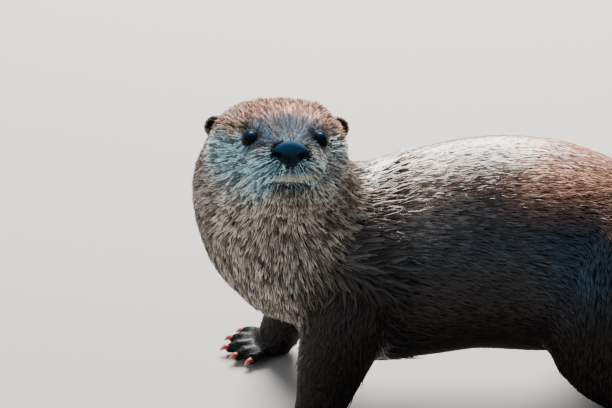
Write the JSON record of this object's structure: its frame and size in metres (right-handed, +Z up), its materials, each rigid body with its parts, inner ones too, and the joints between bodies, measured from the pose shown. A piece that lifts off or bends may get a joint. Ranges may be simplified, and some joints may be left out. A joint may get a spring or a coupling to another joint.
{
  "type": "river otter",
  "caption": "Life-size adult river otter standing on all fours, head raised and turned to its left, wet coat, tail trailing on the ground.",
  "frame": {"origin": "on the ground under the middle of the otter's bounding box", "axes": "+Z up; +X runs from the chest towards the tail tip; -Y is the otter's left side, the side its nose is turned to"},
  "size_m": [0.783, 0.227, 0.273],
  "materials": {
    "body_coat": "wet short fur with a sheen",
    "throat_coat": "wet fur in pointed clumps",
    "head_coat": "wet short fur",
    "bare_skin": "damp, softly glossy",
    "eye": "glossy",
    "claw": "satin horn"
  },
  "bodies": {
    "root": {"head": "head_coat", "neck": "throat_coat", "trunk": "body_coat", "tail_base": "body_coat", "tail_end": "body_coat", "ear_left": "head_coat", "ear_right": "head_coat", "eye_left": "eye", "eye_right": "eye", "nose": "bare_skin", "upper_arm_front_left": "body_coat", "forearm_front_left": "body_coat", "paw_front_left": "bare_skin", "claw_front_left_1": "claw", "claw_front_left_2": "claw", "claw_front_left_3": "claw", "claw_front_left_4": "claw", "claw_front_left_5": "claw", "upper_arm_front_right": "body_coat", "forearm_front_right": "body_coat", "paw_front_right": "bare_skin", "claw_front_right_1": "claw", "claw_front_right_2": "claw", "claw_front_right_3": "claw", "claw_front_right_4": "claw", "claw_front_right_5": "claw", "thigh_hind_left": "body_coat", "shank_hind_left": "body_coat", "foot_hind_left": "bare_skin", "claw_hind_left_1": "claw", "claw_hind_left_2": "claw", "claw_hind_left_3": "claw", "claw_hind_left_4": "claw", "claw_hind_left_5": "claw", "thigh_hind_right": "body_coat", "shank_hind_right": "body_coat", "foot_hind_right": "bare_skin", "claw_hind_right_1": "claw", "claw_hind_right_2": "claw", "claw_hind_right_3": "claw", "claw_hind_right_4": "claw", "claw_hind_right_5": "claw"}
  },
  "joints": []
}
